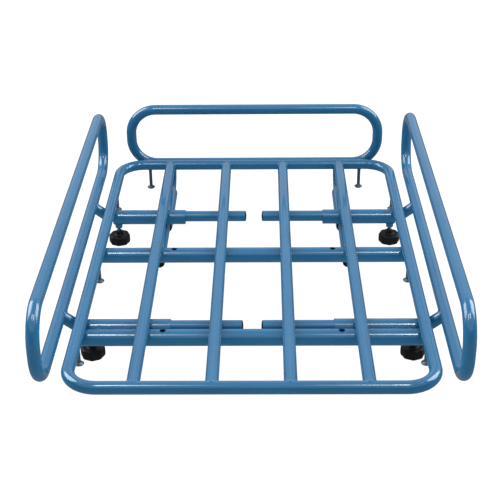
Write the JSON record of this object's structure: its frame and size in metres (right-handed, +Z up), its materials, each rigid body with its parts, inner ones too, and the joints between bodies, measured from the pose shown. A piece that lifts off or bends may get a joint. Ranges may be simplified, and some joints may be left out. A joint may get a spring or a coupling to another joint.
{
  "type": "luggage rack",
  "caption": "Welded tube luggage deck with slats and a tall side hoop at each side and at the back that slides out of clamped sleeves.",
  "frame": {"origin": "centre of the bottom of the bounding box at rest, on the level of the two rear clamp knobs", "axes": "+Y from the open front edge of the deck to the back hoop, +X to the right, +Z up"},
  "size_m": [0.796, 1.04, 0.2898],
  "materials": {
    "deck_paint": "gloss",
    "rail_paint": "gloss",
    "dark_steel": "satin",
    "brass": "satin",
    "plug_plastic": "satin",
    "knob_plastic": "satin"
  },
  "bodies": {
    "root": {"deck_frame": "deck_paint", "slat_1": "deck_paint", "slat_2": "deck_paint", "slat_3": "deck_paint", "slat_4": "deck_paint", "front_cross_member": "deck_paint", "middle_cross_member": "deck_paint", "left_front_peg": "dark_steel", "right_front_peg": "dark_steel", "left_middle_peg": "dark_steel", "right_middle_peg": "dark_steel", "left_rear_peg": "dark_steel", "right_rear_peg": "dark_steel", "back_left_peg": "dark_steel", "back_right_peg": "dark_steel", "front_left_sleeve": "deck_paint", "front_left_boss": "deck_paint", "rear_left_sleeve": "deck_paint", "rear_left_boss": "deck_paint", "front_right_sleeve": "deck_paint", "front_right_boss": "deck_paint", "rear_right_sleeve": "deck_paint", "rear_right_boss": "deck_paint", "back_left_sleeve": "deck_paint", "back_left_boss": "deck_paint", "back_right_sleeve": "deck_paint", "back_right_boss": "deck_paint"},
    "left_rail": {"left_hoop": "rail_paint", "front_left_arm": "rail_paint", "front_left_plug": "plug_plastic", "rear_left_arm": "rail_paint", "rear_left_plug": "plug_plastic"},
    "right_rail": {"right_hoop": "rail_paint", "front_right_arm": "rail_paint", "front_right_plug": "plug_plastic", "rear_right_arm": "rail_paint", "rear_right_plug": "plug_plastic"},
    "back_rail": {"back_hoop": "rail_paint", "back_left_arm": "rail_paint", "back_left_plug": "plug_plastic", "back_right_arm": "rail_paint", "back_right_plug": "plug_plastic"},
    "front_left_lift": {"front_left_pad": "brass"},
    "front_left_screw": {"front_left_stud": "dark_steel", "front_left_knob": "knob_plastic"},
    "rear_left_lift": {"rear_left_pad": "brass"},
    "rear_left_screw": {"rear_left_stud": "dark_steel", "rear_left_knob": "knob_plastic"},
    "front_right_lift": {"front_right_pad": "brass"},
    "front_right_screw": {"front_right_stud": "dark_steel", "front_right_knob": "knob_plastic"},
    "rear_right_lift": {"rear_right_pad": "brass"},
    "rear_right_screw": {"rear_right_stud": "dark_steel", "rear_right_knob": "knob_plastic"},
    "back_left_lift": {"back_left_pad": "brass"},
    "back_left_screw": {"back_left_stud": "dark_steel", "back_left_knob": "knob_plastic"},
    "back_right_lift": {"back_right_pad": "brass"},
    "back_right_screw": {"back_right_stud": "dark_steel", "back_right_knob": "knob_plastic"}
  },
  "joints": [
    {"name": "left_rail_slide", "type": "slide", "parent": "root", "child": "left_rail", "axis": [-1, 0, 0], "range_m": [0, 0.2]},
    {"name": "right_rail_slide", "type": "slide", "parent": "root", "child": "right_rail", "axis": [1, 0, 0], "range_m": [0, 0.2]},
    {"name": "back_rail_slide", "type": "slide", "parent": "root", "child": "back_rail", "axis": [0, 1, 0], "range_m": [0, 0.28]},
    {"name": "front_left_lift", "type": "slide", "parent": "root", "child": "front_left_lift", "axis": [0, 0, 1], "range_m": [-0.0019, 0]},
    {"name": "front_left_screw_turn", "type": "hinge", "parent": "front_left_lift", "child": "front_left_screw", "pos_m": [-0.325, -0.2525, 0.0565], "axis": [0, 0, -1], "range_deg": [0, 540]},
    {"name": "rear_left_lift", "type": "slide", "parent": "root", "child": "rear_left_lift", "axis": [0, 0, 1], "range_m": [-0.0019, 0]},
    {"name": "rear_left_screw_turn", "type": "hinge", "parent": "rear_left_lift", "child": "rear_left_screw", "pos_m": [-0.325, 0.2425, 0.0565], "axis": [0, 0, -1], "range_deg": [0, 540]},
    {"name": "front_right_lift", "type": "slide", "parent": "root", "child": "front_right_lift", "axis": [0, 0, 1], "range_m": [-0.0019, 0]},
    {"name": "front_right_screw_turn", "type": "hinge", "parent": "front_right_lift", "child": "front_right_screw", "pos_m": [0.325, -0.2525, 0.0565], "axis": [0, 0, -1], "range_deg": [0, 540]},
    {"name": "rear_right_lift", "type": "slide", "parent": "root", "child": "rear_right_lift", "axis": [0, 0, 1], "range_m": [-0.0019, 0]},
    {"name": "rear_right_screw_turn", "type": "hinge", "parent": "rear_right_lift", "child": "rear_right_screw", "pos_m": [0.325, 0.2425, 0.0565], "axis": [0, 0, -1], "range_deg": [0, 540]},
    {"name": "back_left_lift", "type": "slide", "parent": "root", "child": "back_left_lift", "axis": [0, 0, 1], "range_m": [-0.0019, 0]},
    {"name": "back_left_screw_turn", "type": "hinge", "parent": "back_left_lift", "child": "back_left_screw", "pos_m": [-0.215, 0.4225, 0.0222], "axis": [0, 0, -1], "range_deg": [0, 540]},
    {"name": "back_right_lift", "type": "slide", "parent": "root", "child": "back_right_lift", "axis": [0, 0, 1], "range_m": [-0.0019, 0]},
    {"name": "back_right_screw_turn", "type": "hinge", "parent": "back_right_lift", "child": "back_right_screw", "pos_m": [0.215, 0.4225, 0.0222], "axis": [0, 0, -1], "range_deg": [0, 540]}
  ],
  "couplings": [
    {"joint": "front_left_lift", "follows": "front_left_screw_turn", "m_per_rad": -0.00019894},
    {"joint": "rear_left_lift", "follows": "rear_left_screw_turn", "m_per_rad": -0.00019894},
    {"joint": "front_right_lift", "follows": "front_right_screw_turn", "m_per_rad": -0.00019894},
    {"joint": "rear_right_lift", "follows": "rear_right_screw_turn", "m_per_rad": -0.00019894},
    {"joint": "back_left_lift", "follows": "back_left_screw_turn", "m_per_rad": -0.00019894},
    {"joint": "back_right_lift", "follows": "back_right_screw_turn", "m_per_rad": -0.00019894}
  ]
}
